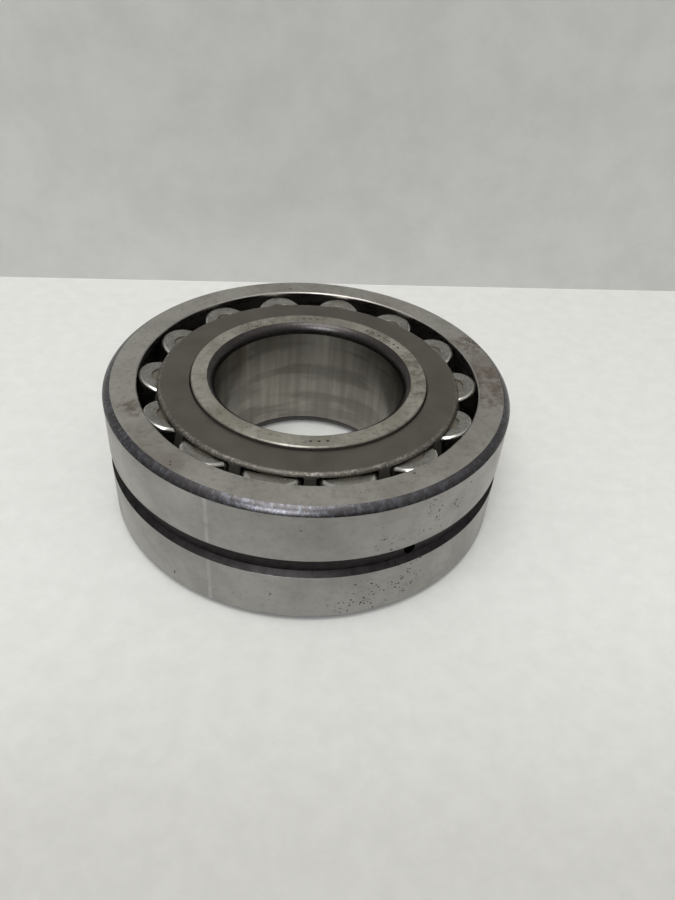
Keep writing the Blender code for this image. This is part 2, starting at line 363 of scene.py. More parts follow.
def make_hole_cutter(material):
    """Lubrication holes, drilled from the groove to the raceway."""
    form = bmesh.new()
    middle = 0.5 * (RACEWAY_RADIUS + OUTER_RADIUS)
    lie = Matrix.Rotation(0.5 * pi, 4, "Y")
    for index in range(HOLE_COUNT):
        turn = Matrix.Rotation(FIRST_HOLE_ANGLE + index * 2.0 * pi / HOLE_COUNT, 4, "Z")
        bmesh.ops.create_cone(
            form,
            cap_ends=True,
            segments=HOLE_SEGMENTS,
            radius1=HOLE_RADIUS,
            radius2=HOLE_RADIUS,
            depth=2.0 * (OUTER_RADIUS - RACEWAY_RADIUS),
            matrix=turn @ Matrix.Translation((middle, 0.0, 0.0)) @ lie,
        )
    return object_from(form, "hole_cutter", [material])


def make_inner_ring(finishes):
    """Bore with rounded corners, side faces, two raceways and the low land between them."""
    race_distance = ROW_RADIUS - ROLLER_RADIUS + BARREL_RADIUS
    race_centre = (race_distance * cos(CONTACT_ANGLE), race_distance * sin(CONTACT_ANGLE))
    race_radius = BARREL_RADIUS + RACE_GAP
    rise = INNER_HALF_WIDTH - FACE_EDGE_DEPTH - race_centre[1]
    top = pi - atan2(rise, sqrt(race_radius ** 2 - rise ** 2))
    land_run = race_centre[0] - LAND_RADIUS
    land = pi + atan2(sqrt(race_radius ** 2 - land_run ** 2), land_run)
    raceway = arc(race_centre, race_radius, top, land, INNER_RACEWAY_STEPS)
    corner = turned_corner(
        (BORE_RADIUS, INNER_HALF_WIDTH - BORE_CORNER_AXIAL),
        (BORE_RADIUS + BORE_CORNER_RADIAL, INNER_HALF_WIDTH),
        BORE_CORNER_TURN,
        BORE_CORNER_STEPS,
    )
    upper_half = stretch(corner, "bore_corner")
    upper_half[-1] = (*corner[-1], "inner_face")
    upper_half += [(INNER_FACE_RADIUS, INNER_HALF_WIDTH, "inner_face")]
    upper_half += stretch(raceway[:OILY_STEPS], "rim")
    upper_half += stretch(raceway[OILY_STEPS:], "raceway")
    outline = softened(upper_half + mirrored(upper_half))
    outline[-1] = (*outline[-1][:2], "bore")
    ring = turned("ring_inner", outline, RING_SEGMENTS, finishes)
    subtract(ring, make_punch_cutter(finishes["bore_corner"]))
    return ring


def make_punch_cutter(material):
    """Plain rows of prick-punch dots: cones that are as wide as a dot where they meet the face."""
    form = bmesh.new()
    radius = 0.5 * (INNER_FACE_RADIUS + BORE_RADIUS + BORE_CORNER_RADIAL)
    for middle, count in PUNCH_ROWS:
        for index in range(count):
            angle = middle + (index - 0.5 * (count - 1)) * PUNCH_PITCH
            spot = (radius * cos(angle), radius * sin(angle), INNER_HALF_WIDTH)
            bmesh.ops.create_cone(
                form,
                cap_ends=True,
                segments=PUNCH_SEGMENTS,
                radius1=0.1 * PUNCH_RADIUS,
                radius2=1.9 * PUNCH_RADIUS,
                depth=2.0 * PUNCH_DEPTH,
                matrix=Matrix.Translation(spot),
            )
    return object_from(form, "punch_cutter", [material])


def make_guide_ring(finishes):
    """Loose ring between the rows, with flanks square to the rollers' axes."""
    flank = -(ROLLER_HALF_LENGTH + END_GAP)
    low_out = (GUIDE_BORE_RADIUS + flank * sin(CONTACT_ANGLE)) / cos(CONTACT_ANGLE) - ROW_RADIUS
    high_out = (GUIDE_OUTER_RADIUS + flank * sin(CONTACT_ANGLE)) / cos(CONTACT_ANGLE) - ROW_RADIUS
    low = along_roller(flank, low_out)
    high = along_roller(flank, high_out)
    upper_half = stretch([
        (low[0], low[1] - GUIDE_CHAMFER),
        along_roller(flank, low_out + GUIDE_CHAMFER),
        along_roller(flank, high_out - GUIDE_CHAMFER),
        (high[0], high[1] - GUIDE_CHAMFER),
    ], "guide")
    outline = softened(upper_half + mirrored(upper_half))
    return turned("ring_guide", outline, RING_SEGMENTS, finishes)


def make_roller(finishes):
    """Barrel with rounded end corners and a shallow flat dimple in the middle of each end."""
    shoulder = ROLLER_HALF_LENGTH - ROLLER_CHAMFER
    face_radius = barrel_height(shoulder) - ROLLER_CHAMFER
    corner = turned_corner(
        (face_radius, ROLLER_HALF_LENGTH),
        (barrel_height(shoulder), shoulder),
        ROLLER_CORNER_TURN,
        ROLLER_CORNER_STEPS,
    )
    end = [
        (0.0, ROLLER_HALF_LENGTH - DIMPLE_DEPTH, "dimple"),
        (DIMPLE_RADIUS - 0.5 * DIMPLE_DEPTH, ROLLER_HALF_LENGTH - DIMPLE_DEPTH, "dimple"),
        (DIMPLE_RADIUS, ROLLER_HALF_LENGTH, "roller_end"),
    ]
    end += stretch(corner, "roller_corner")
    sides = spaced(shoulder, -shoulder, BARREL_STEPS)[1:-1]
    barrel = stretch([(barrel_height(along), along) for along in sides], "barrel")
    end[-1] = (*corner[-1], "barrel")
    outline = softened(end + barrel + mirrored(end), closed=False)
    return turned("barrel", outline, ROLLER_SEGMENTS, finishes, closed=False)


# ---------------------------------------------------------------------------------------------
# Cages, pressed from sheet


def sheet_line():
    """Middle line of the upper cage's sheet: flange, bend, wall along the rollers, and rim."""
    wall = along_roller(0.0, CAGE_WALL_OFFSET)
    centre_height = CAGE_TOP - 0.5 * SHEET - CAGE_BEND_RADIUS
    fall = (centre_height - wall[1]) / cos(CONTACT_ANGLE)
    bend_run = wall[0] - fall * sin(CONTACT_ANGLE) - CAGE_BEND_RADIUS / cos(CONTACT_ANGLE)
    bend = arc((bend_run, centre_height), CAGE_BEND_RADIUS, 0.5 * pi, CONTACT_ANGLE, BEND_STEPS)
    rim_start = along_roller(-(ROLLER_HALF_LENGTH + CAGE_RIM_START), CAGE_WALL_OFFSET)
    flange = [(CAGE_BORE_RADIUS, CAGE_TOP - 0.5 * SHEET)]
    return flange + bend + [rim_start, (rim_start[0], CAGE_RIM_HEIGHT)]


def measured(line):
    """Distances along a line, one for each of its points."""
    lengths = [0.0]
    for here, there in zip(line, line[1:]):
        lengths.append(lengths[-1] + hypot(there[0] - here[0], there[1] - here[1]))
    return lengths


def point_on(line, lengths, distance):
    """Point at a distance along a line."""
    for index in range(1, len(line)):
        if distance <= lengths[index] or index == len(line) - 1:
            t = (distance - lengths[index - 1]) / (lengths[index] - lengths[index - 1])
            here, there = line[index - 1], line[index]
            return here[0] + (there[0] - here[0]) * t, here[1] + (there[1] - here[1]) * t


def crossing(line, lengths, along):
    """Distance along the sheet where it passes a height measured along the rollers."""
    levels = [z * cos(CONTACT_ANGLE) - r * sin(CONTACT_ANGLE) for r, z in line]
    for index in range(1, len(line)):
        if levels[index] <= along:
            t = (levels[index - 1] - along) / (levels[index - 1] - levels[index])
            return lengths[index - 1] + t * (lengths[index] - lengths[index - 1])


def spaced(start, end, count):
    """Evenly spaced values from start to end, with both ends."""
    return [start + (end - start) * step / count for step in range(count + 1)]


def make_cage(name, upper, first_angle, materials):
    """A sheet laid out as a grid of rows along its line and columns round it, less its pockets."""
    line = sheet_line()
    lengths = measured(line)
    top = crossing(line, lengths, ROLLER_HALF_LENGTH + END_GAP)
    bottom = crossing(line, lengths, -(ROLLER_HALF_LENGTH + END_GAP))
    flange_end = lengths[1]
    rows = spaced(0.0, flange_end, FLANGE_ROWS)
    rows += spaced(flange_end, top, SHOULDER_ROWS)[1:]
    rows += spaced(top + POCKET_MARGIN, bottom - POCKET_MARGIN, POCKET_ROWS)
    rows += spaced(bottom, lengths[-1], RIM_ROWS)
    half_pocket = ROLLER_RADIUS + POCKET_GAP
    inside = half_pocket - POCKET_MARGIN
    offsets = [-half_pocket] + spaced(-inside, inside, POCKET_COLUMNS) + [half_pocket]

    form = bmesh.new()
    grid = []
    for distance in rows:
        radius, height = point_on(line, lengths, distance)
        pocket_radius = point_on(line, lengths, min(max(distance, top), bottom))[0]
        edge = atan2(half_pocket, sqrt(pocket_radius ** 2 - half_pocket ** 2))
        columns = [atan2(x, sqrt(pocket_radius ** 2 - x ** 2)) for x in offsets]
        columns += spaced(edge, ROLLER_PITCH - edge, BAR_COLUMNS)[1:-1]
        row = []
        for pocket in range(ROLLER_COUNT):
            for column in columns:
                angle = first_angle + pocket * ROLLER_PITCH + column
                spot = (radius * cos(angle), radius * sin(angle), height if upper else -height)
                row.append(form.verts.new(spot))
        grid.append(row)
    pocket_columns = len(offsets) - 1
    per_pitch = pocket_columns + BAR_COLUMNS
    for index, distance in enumerate(rows[:-1]):
        low, high = grid[index], grid[index + 1]
        is_pocket_row = top - NEAR_ZERO <= distance < bottom - NEAR_ZERO
        for column in range(per_pitch * ROLLER_COUNT):
            if is_pocket_row and column % per_pitch < pocket_columns:
                continue
            after = (column + 1) % (per_pitch * ROLLER_COUNT)
            form.faces.new([low[column], low[after], high[after], high[column]])
    for loose in [vert for vert in form.verts if not vert.link_faces]:
        form.verts.remove(loose)

    cage = object_from(form, name, materials)
    thicken = cage.modifiers.new("sheet", "SOLIDIFY")
    thicken.thickness = SHEET
    thicken.offset = 0.0
    thicken.use_even_offset = True
    thicken.material_offset_rim = 1
    apply_modifiers(cage)
    round_pocket_corners(cage)
    soften = cage.modifiers.new("soften", "BEVEL")
    soften.width = CAGE_EDGE_ROUNDING
    soften.segments = 2
    soften.limit_method = "ANGLE"
    soften.angle_limit = radians(50.0)
    apply_modifiers(cage)
    cage.data.shade_smooth()
    cage.data.set_sharp_from_angle(angle=SMOOTH_ANGLE)
    return cage


def round_pocket_corners(cage):
    """Rounds the four corners of every pocket, where two cut edges of the sheet meet."""
    form = bmesh.new()
    form.from_mesh(cage.data)
    corners = []
    for edge in form.edges:
        if len(edge.link_faces) != 2:
            continue
        cut_faces = [face for face in edge.link_faces if face.material_index == 1]
        if len(cut_faces) == 2 and edge.calc_face_angle() > radians(60.0):
            corners.append(edge)
    bmesh.ops.bevel(
        form,
        geom=corners,
        offset=POCKET_CORNER,
        offset_type="OFFSET",
        segments=6,
        profile=0.5,
        affect="EDGES",
        clamp_overlap=False,
    )
    form.to_mesh(cage.data)
    form.free()


# ---------------------------------------------------------------------------------------------
# Finishes


class Finish:
    """One procedural material. Its methods add a node and return the socket that it makes.

    place is a point in the piece's own frame, in metres, with x, y and z as its parts; radius is
    the distance from Z and turn is the angle round it.
    """

    def __init__(self, name):
        self.material = bpy.data.materials.new(name)
        self.material.use_nodes = True
        self.tree = self.material.node_tree
        self.shader = self.tree.nodes["Principled BSDF"]
        self.place = self.tree.nodes.new("ShaderNodeTexCoord").outputs["Object"]
        parts = self.tree.nodes.new("ShaderNodeSeparateXYZ")
        self.tree.links.new(self.place, parts.inputs[0])
        self.x, self.y, self.z = parts.outputs
        across = self.math("ADD", self.math("MULTIPLY", self.x, self.x),
                           self.math("MULTIPLY", self.y, self.y))
        self.radius = self.math("SQRT", across)
        self.turn = self.math("ARCTAN2", self.y, self.x)

    def put(self, value, socket):
        """Links a socket, or sets a plain value."""
        if isinstance(value, bpy.types.NodeSocket):
            self.tree.links.new(value, socket)
        elif hasattr(value, "__len__") and len(value) == 3 and len(socket.default_value) == 4:
            socket.default_value = (*value, 1.0)
        else:
            socket.default_value = value

    def math(self, operation, first, second=0.0):
        """One arithmetic step."""
        node = self.tree.nodes.new("ShaderNodeMath")
        node.operation = operation
        self.put(first, node.inputs[0])
        self.put(second, node.inputs[1])
        return node.outputs[0]

    def vector(self, x, y, z):
        """Three values joined into coordinates."""
        node = self.tree.nodes.new("ShaderNodeCombineXYZ")
        for value, socket in zip((x, y, z), node.inputs):
            self.put(value, socket)
        return node.outputs[0]

    def scaled(self, x, y, z):
        """The place, stretched by one factor for each direction."""
        return self.vector(self.math("MULTIPLY", self.x, x), self.math("MULTIPLY", self.y, y),
                           self.math("MULTIPLY", self.z, z))

    def wound(self, around, level):
        """Coordinates for lines that run round Z. The smaller around is, the longer they are."""
        share = self.math("DIVIDE", around, self.radius)
        return self.vector(self.math("MULTIPLY", self.x, share),
                           self.math("MULTIPLY", self.y, share), level)

    def rings(self, across, around):
        """Coordinates for fine lines round a flat face, as fine in radius as across says."""
        return self.wound(around, self.math("MULTIPLY", self.radius, across))

    def hoops(self, along, around):
        """Coordinates for fine lines round a cylinder, as fine in height as along says."""
        return self.wound(around, self.math("MULTIPLY", self.z, along))

    def noise(self, vector, scale, detail, roughness):
        """Cloudy noise from 0 to 1, mostly near 0.5."""
        node = self.tree.nodes.new("ShaderNodeTexNoise")
        self.put(vector, node.inputs["Vector"])
        node.inputs["Scale"].default_value = scale
        node.inputs["Detail"].default_value = detail
        node.inputs["Roughness"].default_value = roughness
        return node.outputs["Fac"]

    def cells(self, vector, scale):
        """Distance to the nearest of many scattered points."""
        node = self.tree.nodes.new("ShaderNodeTexVoronoi")
        self.put(vector, node.inputs["Vector"])
        node.inputs["Scale"].default_value = scale
        return node.outputs["Distance"]

    def between(self, value, low, high, start=0.0, end=1.0):
        """Value mapped smoothly from low..high to start..end, and held past both."""
        node = self.tree.nodes.new("ShaderNodeMapRange")
        node.interpolation_type = "SMOOTHSTEP"
        self.put(value, node.inputs["Value"])
        for name, number in (("From Min", low), ("From Max", high),
                             ("To Min", start), ("To Max", end)):
            node.inputs[name].default_value = number
        return node.outputs["Result"]

    def mix(self, share, first, second):
        """The first colour at share 0 and the second at share 1."""
        node = self.tree.nodes.new("ShaderNodeMix")
        node.data_type = "RGBA"
        self.put(share, node.inputs["Factor"])
        self.put(first, node.inputs["A"])
        self.put(second, node.inputs["B"])
        return node.outputs["Result"]

    def near(self, spot, reach, soft):
        """1 near a spot, falling to 0 at its reach, with an edge made ragged by soft metres."""
        node = self.tree.nodes.new("ShaderNodeVectorMath")
        node.operation = "DISTANCE"
        self.put(self.place, node.inputs[0])
        node.inputs[1].default_value = spot
        wander = self.noise(self.place, 160.0, 4.0, 0.6)
        ragged = self.math("ADD", node.outputs["Value"],
                           self.math("MULTIPLY", self.math("SUBTRACT", wander, 0.5), soft))
        return self.between(ragged, reach, reach * 0.35)

    def bump(self, height, strength, distance, under=None):
        """Relief of a depth in metres, on top of another relief if one is given."""
        node = self.tree.nodes.new("ShaderNodeBump")
        node.inputs["Strength"].default_value = strength
        node.inputs["Distance"].default_value = distance
        self.put(height, node.inputs["Height"])
        if under is not None:
            self.put(under, node.inputs["Normal"])
        return node.outputs["Normal"]

    def brushed(self, amount):
        """Stretches highlights across lines that run round the piece's own Z axis."""
        node = self.tree.nodes.new("ShaderNodeTangent")
        node.direction_type = "RADIAL"
        node.axis = "Z"
        self.put(node.outputs["Tangent"], self.shader.inputs["Tangent"])
        self.shader.inputs["Anisotropic"].default_value = amount
        self.shader.inputs["Anisotropic Rotation"].default_value = 0.25

    def clear_from_behind(self):
        """Shows only the front of a sheet, so that views from behind it see the bearing."""
        behind = self.tree.nodes.new("ShaderNodeNewGeometry").outputs["Backfacing"]
        clear = self.tree.nodes.new("ShaderNodeBsdfTransparent")
        choice = self.tree.nodes.new("ShaderNodeMixShader")
        self.put(behind, choice.inputs["Fac"])
        self.tree.links.new(self.shader.outputs["BSDF"], choice.inputs[1])
        self.tree.links.new(clear.outputs["BSDF"], choice.inputs[2])
        output = self.tree.nodes["Material Output"]
        self.tree.links.new(choice.outputs["Shader"], output.inputs["Surface"])

    def finish(self, colour, roughness, metallic, normal=None):
        """Joins the shader up and gives back the material."""
        self.put(colour, self.shader.inputs["Base Color"])
        self.put(roughness, self.shader.inputs["Roughness"])
        self.put(metallic, self.shader.inputs["Metallic"])
        if normal is not None:
            self.put(normal, self.shader.inputs["Normal"])
        return self.material


def pitting(steel, clusters):
    """1 in small corrosion pits: a few anywhere, and many in clusters of (place, reach)."""
    size = steel.between(steel.noise(steel.place, 700.0, 2.0, 0.5), 0.35, 0.65, 0.10, 0.42)
    where = steel.between(steel.noise(steel.place, 75.0, 3.0, 0.5), 0.62, 0.72)
    thick = steel.between(steel.noise(steel.place, 260.0, 3.0, 0.6), 0.40, 0.54, 0.2, 1.0)
    for spot, reach in clusters:
        patch = steel.math("MULTIPLY", steel.near(spot, reach, 0.02), thick)
        where = steel.math("MAXIMUM", where, patch)
    edge = steel.math("MULTIPLY", size, where)
    depth = steel.math("SUBTRACT", edge, steel.cells(steel.place, 740.0))
    return steel.between(depth, -0.02, 0.05)


def wiped(steel, colour, angles):
    """Thin pale lines down a cylinder, where something has rubbed it."""
    patchy = steel.between(steel.noise(steel.place, 140.0, 3.0, 0.6), 0.35, 0.6, 0.1, 0.4)
    for angle, width in angles:
        away = steel.math("ABSOLUTE", steel.math("SUBTRACT", steel.turn, angle))
        line = steel.between(away, width, 0.3 * width)
        colour = steel.mix(steel.math("MULTIPLY", line, patchy), colour, RUBBED)
    return colour


def ground_steel(name, light, dark, stain, roughness, lines, dirt, stains=(), clusters=(),
                 wipes=()):
    """Ground bearing steel: cloudy grey with stains, small pits and fine grinding lines.

    lines is "rings" on a flat face and "hoops" round a cylinder, and dirt is the most that grime
    covers. stains and clusters of pits list (place, reach) pairs in metres; wipes lists
    (angle, width) pairs.
    """
    steel = Finish(name)
    cloud = steel.between(steel.noise(steel.place, 55.0, 5.0, 0.6), 0.35, 0.68)
    blush = steel.between(steel.noise(steel.place, 24.0, 4.0, 0.55), 0.52, 0.75, 0.0, 0.45)
    colour = steel.mix(cloud, light, dark)
    colour = steel.mix(blush, colour, stain)
    for spot, reach in stains:
        mottle = steel.between(steel.noise(steel.place, 210.0, 4.0, 0.65), 0.35, 0.62, 0.15, 0.85)
        share = steel.math("MULTIPLY", steel.near(spot, reach, 0.016), mottle)
        colour = steel.mix(share, colour, stain)
    if lines == "rings":
        grain = steel.noise(steel.rings(2600.0, 14.0), 1.0, 3.0, 0.7)
    else:
        grain = steel.noise(steel.hoops(2200.0, 10.0), 1.0, 3.0, 0.7)
    grime = steel.between(steel.noise(steel.place, 420.0, 4.0, 0.7), 0.48, 0.70, 0.0, dirt)
    colour = steel.mix(grime, colour, GRIME)
    colour = wiped(steel, colour, wipes)
    pits = pitting(steel, clusters)
    colour = steel.mix(steel.math("MULTIPLY", pits, 0.85), colour, PIT)
    streak = steel.between(grain, 0.25, 0.75, -0.07, 0.07)
    rough = steel.math("ADD", streak, roughness)
    rough = steel.math("ADD", rough, steel.math("MULTIPLY", cloud, 0.06))
    rough = steel.math("ADD", rough, steel.math("MULTIPLY", pits, 0.3))
    normal = steel.bump(grain, 0.10, 0.06 * MM)
    normal = steel.bump(steel.math("SUBTRACT", 1.0, pits), 0.5, 0.3 * MM, normal)
    if lines == "hoops":
        steel.brushed(0.65)
    return steel.finish(colour, rough, 1.0, normal)


def dark_turned(name, dark, worn, roughness, tear):
    """Turned and hardened corner: dark, worn in patches, with tool marks as strong as tear."""
    steel = Finish(name)
    patches = steel.between(steel.noise(steel.place, 60.0, 4.0, 0.6), 0.30, 0.60, 0.3, 1.0)
    rubbed = steel.between(steel.noise(steel.hoops(700.0, 45.0), 1.0, 5.0, 0.65), 0.45, 0.66)
    colour = steel.mix(steel.math("MULTIPLY", patches, rubbed), dark, worn)
    tears = steel.noise(steel.hoops(900.0, 60.0), 1.0, 4.0, 0.65)
    rough = steel.between(tears, 0.3, 0.7, roughness - 0.05, roughness + 0.05)
    return steel.finish(colour, rough, 1.0, steel.bump(tears, tear, 0.2 * MM))


def raceway_steel(name):
    """Honed raceway: smooth, oily and darker than the ground faces."""
    steel = Finish(name)
    film = steel.between(steel.noise(steel.hoops(260.0, 5.0), 1.0, 4.0, 0.6), 0.35, 0.7)
    colour = steel.mix(film, (0.46, 0.44, 0.42), (0.34, 0.32, 0.30))
    rough = steel.between(film, 0.0, 1.0, 0.26, 0.40)
    grain = steel.noise(steel.hoops(2600.0, 8.0), 1.0, 2.0, 0.6)
    return steel.finish(colour, rough, 1.0, steel.bump(grain, 0.08, 0.04 * MM))


def groove_steel(name):
    """Turned groove, black with dried oil."""
    steel = Finish(name)
    film = steel.between(steel.noise(steel.hoops(420.0, 24.0), 1.0, 5.0, 0.65), 0.3, 0.7)
    colour = steel.mix(film, (0.021, 0.019, 0.021), (0.040, 0.037, 0.037))
    grain = steel.noise(steel.hoops(1900.0, 16.0), 1.0, 3.0, 0.7)
    return steel.finish(colour, steel.between(film, 0.0, 1.0, 0.30, 0.44), 1.0,
                        steel.bump(grain, 0.40, 0.15 * MM))


def oily_steel(name, light, dark, metallic):
    """Turned steel beside the running surfaces, dull and brown with old oil and dirt."""
    steel = Finish(name)
    film = steel.between(steel.noise(steel.hoops(500.0, 30.0), 1.0, 4.0, 0.6), 0.3, 0.7)
    grain = steel.noise(steel.hoops(1900.0, 16.0), 1.0, 3.0, 0.7)
    return steel.finish(steel.mix(film, light, dark), 0.48, metallic,
                        steel.bump(grain, 0.3, 0.1 * MM))


def bore_steel(name):
    """Ground bore with marks left by the shaft: wear bands round it and streaks along it."""
    steel = Finish(name)
    streaks = steel.between(steel.noise(steel.scaled(260.0, 260.0, 14.0), 1.0, 5.0, 0.6),
                            0.28, 0.72)
    bands = steel.between(steel.noise(steel.hoops(110.0, 0.9), 1.0, 3.0, 0.5),
                          0.46, 0.60, 0.0, 0.6)
    rust = steel.between(steel.noise(steel.scaled(70.0, 70.0, 8.0), 1.0, 4.0, 0.6), 0.58, 0.72,
                         0.0, 0.4)
    colour = steel.mix(streaks, (0.37, 0.353, 0.314), (0.25, 0.237, 0.212))
    colour = steel.mix(bands, colour, (0.16, 0.152, 0.138))
    colour = steel.mix(rust, colour, (0.23, 0.188, 0.145))
    grain = steel.noise(steel.hoops(1500.0, 12.0), 1.0, 3.0, 0.7)
    rough = steel.math("ADD", steel.between(grain, 0.25, 0.75, -0.02, 0.02), 0.29)
    steel.brushed(0.88)
    return steel.finish(colour, rough, 1.0, steel.bump(grain, 0.04, 0.06 * MM))


def cage_steel(name):
    """Pressed sheet with a matt dark treatment, bright in specks where it is bent: partly wear,
    and partly a painted sheen that stands in for the highlight on the bend.
    """
    steel = Finish(name)
    cloud = steel.between(steel.noise(steel.place, 60.0, 5.0, 0.6), 0.3, 0.7)
    colour = steel.mix(cloud, (0.126, 0.115, 0.098), (0.098, 0.089, 0.075))
    # Painted sheen: round the bend the colour is lightened in specks. This is partly real wear and
    # partly a painted highlight for the light that the bend catches.
    bend = steel.between(steel.radius, BEND_START, BEND_START + WORN_SHEEN_WIDTH)
    specks = steel.between(steel.noise(steel.place, 1100.0, 3.0, 0.7), 0.42, 0.70)
    patches = steel.between(steel.noise(steel.place, 90.0, 3.0, 0.6), 0.35, 0.55, 0.25, 1.0)
    low, high = (CAGE_TOP - depth for depth in WORN_SHEEN_DEPTHS)
    top = steel.between(steel.math("ABSOLUTE", steel.z), low, high)
    wear_and_sheen = steel.math("MULTIPLY", steel.math("MULTIPLY", specks, patches),
                      steel.math("MULTIPLY", bend, top))
    colour = steel.mix(wear_and_sheen, colour, (0.34, 0.325, 0.29))
    grain = steel.noise(steel.place, 1800.0, 4.0, 0.7)
    rough = steel.math("SUBTRACT", 0.50, steel.math("MULTIPLY", wear_and_sheen, 0.20))
    return steel.finish(colour, rough, 0.75, steel.bump(grain, 0.10, 0.12 * MM))


def roller_end_steel(name):
    """Turned roller end: rings from the tool and a yellowish film, another on each roller."""
    steel = Finish(name)
    chance = steel.tree.nodes.new("ShaderNodeObjectInfo").outputs["Random"]
    shift = steel.math("MULTIPLY", chance, 40.0)
    cloud_at = steel.vector(steel.math("ADD", steel.x, shift), steel.y, steel.z)
    cloud = steel.between(steel.noise(cloud_at, 190.0, 4.0, 0.6), 0.35, 0.7)
    colour = steel.mix(cloud, (0.39, 0.38, 0.355), (0.26, 0.25, 0.22))
    rings = steel.noise(steel.rings(2300.0, 3.0), 1.0, 3.0, 0.7)
    dull = steel.between(rings, 0.42, 0.62, 0.0, 0.5)
    colour = steel.mix(dull, colour, (0.20, 0.19, 0.165))
    rough = steel.between(rings, 0.3, 0.7, 0.22, 0.32)
    steel.brushed(0.4)
    return steel.finish(colour, rough, 1.0, steel.bump(rings, 0.25, 0.1 * MM))


def barrel_steel(name):
    """Honed barrel: bright, with faint hoops."""
    steel = Finish(name)
    hoops = steel.noise(steel.hoops(1500.0, 4.0), 1.0, 3.0, 0.6)
    colour = steel.mix(steel.between(hoops, 0.35, 0.7), (0.55, 0.54, 0.51), (0.40, 0.39, 0.36))
    return steel.finish(colour, steel.between(hoops, 0.3, 0.7, 0.15, 0.24), 1.0,
                        steel.bump(hoops, 0.05, 0.04 * MM))


def floor_finish(name):
    """Plain pale board with a faint fibrous mottle."""
    board = Finish(name)
    mottle = board.between(board.noise(board.place, 110.0, 6.0, 0.65), 0.3, 0.7)
    colour = board.mix(mottle, (0.80, 0.80, 0.775), (0.755, 0.755, 0.73))
    fibres = board.noise(board.place, 700.0, 3.0, 0.6)
    board.clear_from_behind()
    return board.finish(colour, 0.75, 0.0, board.bump(fibres, 0.12, 0.3 * MM))


def make_finishes():
    """Every finish, by the name that the outlines use."""
    side_stains = (
        ((0.0755, 0.004, HALF_WIDTH), 0.014),
        ((0.076, -0.011, HALF_WIDTH), 0.011),
        ((0.071, 0.030, HALF_WIDTH), 0.010),
        ((-0.068, -0.032, HALF_WIDTH), 0.009),
    )
    pit_clusters = (
        ((0.0265, -0.0808, -0.020), 0.020),
        ((0.0400, -0.0750, -0.013), 0.015),
        ((0.0505, -0.0684, 0.016), 0.014),
        ((0.0310, -0.0791, 0.007), 0.012),
    )
    face_stains = (
        ((0.045, 0.012, INNER_HALF_WIDTH), 0.014),
        ((0.045, -0.008, INNER_HALF_WIDTH), 0.010),
        ((0.030, 0.035, INNER_HALF_WIDTH), 0.010),
        ((-0.022, 0.041, INNER_HALF_WIDTH), 0.016),
    )
    face_clusters = (
        ((-0.024, 0.039, INNER_HALF_WIDTH), 0.022),
        ((0.034, 0.031, INNER_HALF_WIDTH), 0.015),
    )
    wipes = ((radians(-113.6), 0.014),)
    return {
        "side_face": ground_steel("side_face_steel", (0.48, 0.466, 0.43), (0.37, 0.356, 0.325),
                                  (0.20, 0.158, 0.13), 0.36, "rings", 0.30, side_stains),
        "corner": dark_turned("dark_corner_steel", (0.086, 0.081, 0.085), (0.155, 0.163, 0.186),
                              0.29, 0.22),
        "outside": ground_steel("outside_steel", (0.375, 0.366, 0.350), (0.32, 0.312, 0.298),
                                (0.29, 0.265, 0.25), 0.35, "hoops", 0.15, (), pit_clusters,
                                wipes),
        "groove": groove_steel("groove_steel"),
        "hole": groove_steel("hole_steel"),
        "raceway": raceway_steel("raceway_steel"),
        "inner_face": ground_steel("inner_face_steel", (0.51, 0.49, 0.432), (0.33, 0.315, 0.266),
                                   (0.235, 0.217, 0.178), 0.40, "rings", 0.5, face_stains,
                                   face_clusters),
        "bore_corner": dark_turned("bore_corner_steel", (0.063, 0.057, 0.056),
                                   (0.084, 0.078, 0.079), 0.31, 0.05),
        "bore": bore_steel("bore_steel"),
        "rim": oily_steel("oily_rim_steel", (0.075, 0.067, 0.058), (0.045, 0.040, 0.034), 0.25),
        "dimple": oily_steel("oily_dimple_steel", (0.24, 0.22, 0.18), (0.16, 0.14, 0.11), 0.6),
        "guide": raceway_steel("guide_steel"),
        "cage": cage_steel("cage_sheet"),
        "cage_edge": cage_steel("cage_cut_edge"),
        "roller_end": roller_end_steel("roller_end_steel"),
        "roller_corner": barrel_steel("roller_corner_steel"),
        "barrel": barrel_steel("barrel_steel"),
    }


def only(finishes, *names):
    """The finishes that one piece uses, in order."""
    return {name: finishes[name] for name in names}


# ---------------------------------------------------------------------------------------------
# The pieces in their places


def settle(piece, node):
    """The piece rides on the body of the CAD node that it stands for."""
    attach(piece, node)
    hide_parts(node)


def make_rollers(finishes):
    """One barrel for each roller's joint, on the joint's own axis."""
    first = make_roller(only(finishes, "roller_end", "dimple", "roller_corner", "barrel"))
    for joint in ROLLER_JOINTS:
        roller = bpy.data.objects.new(joint["child"].replace("roller", "barrel"), first.data)
        centre = Vector(joint["pos_m"])
        up = Vector(joint["axis"]).normalized()
        side = Vector((0.0, 0.0, 1.0)).cross(centre).normalized()
        out = side.cross(up)
        turn = Matrix((out, side, up)).transposed().to_4x4()
        roller.matrix_world = Matrix.Translation(centre) @ turn
        bpy.context.scene.collection.objects.link(roller)
        settle(roller, joint["child"])
    bpy.data.objects.remove(first, do_unlink=True)


